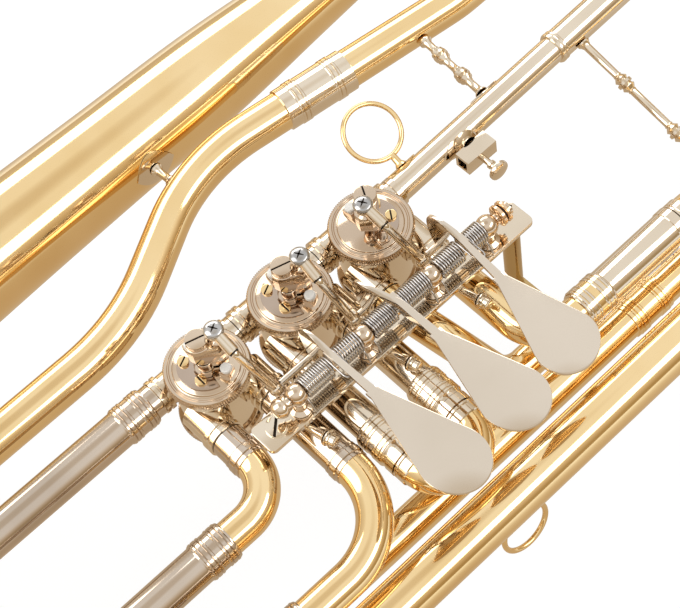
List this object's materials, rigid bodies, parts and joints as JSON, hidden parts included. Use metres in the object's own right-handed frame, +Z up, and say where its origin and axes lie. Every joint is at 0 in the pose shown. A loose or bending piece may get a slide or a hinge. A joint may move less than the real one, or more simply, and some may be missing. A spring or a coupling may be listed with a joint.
{
  "type": "rotary valve bass trumpet",
  "caption": "Brass bass trumpet with rotary valves, sprung finger levers, pull-out tuning slides and a flared bell, blown through a receiver at the narrow end.",
  "frame": {"origin": "centre of the bounding box", "axes": "+X towards the player's end along the bell's axis, +Y towards the bell's side, +Z up along the rotor spindles"},
  "size_m": [0.6164, 0.3148, 0.168],
  "materials": {
    "brass": "clear lacquered yellow brass, polished",
    "nickel_silver": "clear lacquered nickel silver, polished",
    "steel": "bright spring wire"
  },
  "bodies": {
    "horn": {"bell": "brass", "bell_bow": "brass", "last_branch": "brass", "left_bow": "brass", "s_branch": "brass", "s_ferrule": "nickel_silver", "inner_bow": "brass", "tail_branch": "brass", "main_sleeve": "nickel_silver", "tail_sleeve": "nickel_silver", "third_near_leg": "nickel_silver", "third_far_leg": "brass", "second_left_leg": "nickel_silver", "second_right_leg": "nickel_silver", "first_upper_leg": "nickel_silver", "first_lower_leg": "brass", "leadpipe": "nickel_silver", "receiver": "nickel_silver", "valve_casing_1": "nickel_silver", "valve_casing_2": "nickel_silver", "valve_casing_3": "nickel_silver", "upper_cap_1": "nickel_silver", "upper_cap_2": "nickel_silver", "upper_cap_3": "nickel_silver", "axle": "nickel_silver", "post_a": "brass", "post_b": "brass", "post_c": "brass", "post_d": "brass", "lever_plate": "nickel_silver", "plate_pillar": "brass", "plate_stay_1": "nickel_silver", "plate_stay_2": "nickel_silver", "plate_stay_3": "nickel_silver", "spring_1": "steel", "spring_2": "steel", "spring_3": "steel", "brace_front": "nickel_silver", "brace_rear": "nickel_silver", "bell_post": "nickel_silver", "finger_ring": "brass", "finger_hook": "brass", "lyre_socket": "nickel_silver"},
    "main_slide": {"main_slide": "brass"},
    "third_slide": {"third_slide": "brass"},
    "second_slide": {"second_slide": "brass"},
    "first_slide": {"first_slide": "brass"},
    "lyre_screw": {"lyre_screw": "nickel_silver"},
    "bottom_cap_1": {"bottom_cap_1": "nickel_silver"},
    "rotor_1": {"rotor_1": "nickel_silver"},
    "rod_1": {"rod_1": "nickel_silver"},
    "lever_1": {"lever_1": "nickel_silver"},
    "bottom_cap_2": {"bottom_cap_2": "nickel_silver"},
    "rotor_2": {"rotor_2": "nickel_silver"},
    "rod_2": {"rod_2": "nickel_silver"},
    "lever_2": {"lever_2": "nickel_silver"},
    "bottom_cap_3": {"bottom_cap_3": "nickel_silver"},
    "rotor_3": {"rotor_3": "nickel_silver"},
    "rod_3": {"rod_3": "nickel_silver"},
    "lever_3": {"lever_3": "nickel_silver"}
  },
  "joints": [
    {"name": "main_slide_pull", "type": "slide", "parent": "horn", "child": "main_slide", "axis": [-1, 0, 0], "range_m": [0, 0.025]},
    {"name": "third_slide_pull", "type": "slide", "parent": "horn", "child": "third_slide", "axis": [-1, 0, 0], "range_m": [0, 0.02]},
    {"name": "second_slide_pull", "type": "slide", "parent": "horn", "child": "second_slide", "axis": [0, -1, 0], "range_m": [0, 0.012]},
    {"name": "first_slide_pull", "type": "slide", "parent": "horn", "child": "first_slide", "axis": [1, 0, 0], "range_m": [0, 0.012]},
    {"name": "lever_1_press", "type": "hinge", "parent": "horn", "child": "lever_1", "pos_m": [0.07662, -0.07802, 0.031], "axis": [1, 0, 0], "range_deg": [0, 20], "stiffness_Nm_per_rad": 0.12, "springref_deg": -28.65, "deforming": ["spring_1"]},
    {"name": "rod_1_swing", "type": "hinge", "parent": "lever_1", "child": "rod_1", "pos_m": [0.06672, -0.06602, 0.02], "axis": [1, 0, 0], "range_deg": [-31.3, 0]},
    {"name": "rotor_1_turn", "type": "hinge", "parent": "horn", "child": "rotor_1", "pos_m": [0.06342, -0.04202, 0.0243], "axis": [0, 0, 1], "range_deg": [-90, 0]},
    {"name": "lever_2_press", "type": "hinge", "parent": "horn", "child": "lever_2", "pos_m": [0.04302, -0.07802, 0.031], "axis": [1, 0, 0], "range_deg": [0, 20], "stiffness_Nm_per_rad": 0.12, "springref_deg": -28.65, "deforming": ["spring_2"]},
    {"name": "rod_2_swing", "type": "hinge", "parent": "lever_2", "child": "rod_2", "pos_m": [0.03202, -0.06602, 0.02], "axis": [1, 0, 0], "range_deg": [-31.3, 0]},
    {"name": "rotor_2_turn", "type": "hinge", "parent": "horn", "child": "rotor_2", "pos_m": [0.02242, -0.04202, 0.0243], "axis": [0, 0, 1], "range_deg": [0, 90]},
    {"name": "lever_3_press", "type": "hinge", "parent": "horn", "child": "lever_3", "pos_m": [0.01182, -0.07802, 0.031], "axis": [1, 0, 0], "range_deg": [0, 20], "stiffness_Nm_per_rad": 0.12, "springref_deg": -28.65, "deforming": ["spring_3"]},
    {"name": "rod_3_swing", "type": "hinge", "parent": "lever_3", "child": "rod_3", "pos_m": [-0.00658, -0.06602, 0.02], "axis": [1, 0, 0], "range_deg": [-31.3, 0]},
    {"name": "rotor_3_turn", "type": "hinge", "parent": "horn", "child": "rotor_3", "pos_m": [-0.01858, -0.04202, 0.0243], "axis": [0, 0, 1], "range_deg": [0, 90]},
    {"name": "bottom_cap_1_unscrew", "type": "hinge", "parent": "horn", "child": "bottom_cap_1", "pos_m": [0.06342, -0.04202, -0.0125], "axis": [0, 0, -1], "continuous": true},
    {"name": "bottom_cap_2_unscrew", "type": "hinge", "parent": "horn", "child": "bottom_cap_2", "pos_m": [0.02242, -0.04202, -0.0125], "axis": [0, 0, -1], "continuous": true},
    {"name": "bottom_cap_3_unscrew", "type": "hinge", "parent": "horn", "child": "bottom_cap_3", "pos_m": [-0.01858, -0.04202, -0.0125], "axis": [0, 0, -1], "continuous": true},
    {"name": "lyre_screw_turn", "type": "hinge", "parent": "horn", "child": "lyre_screw", "pos_m": [0.11842, -0.04802, 0.0107], "axis": [0, -1, 0], "continuous": true}
  ],
  "couplings": [
    {"joint": "rod_1_swing", "follows": "lever_1_press", "ratio": -1.565},
    {"joint": "rotor_1_turn", "follows": "lever_1_press", "ratio": -4.5},
    {"joint": "rod_2_swing", "follows": "lever_2_press", "ratio": -1.565},
    {"joint": "rotor_2_turn", "follows": "lever_2_press", "ratio": 4.5},
    {"joint": "rod_3_swing", "follows": "lever_3_press", "ratio": -1.565},
    {"joint": "rotor_3_turn", "follows": "lever_3_press", "ratio": 4.5}
  ]
}
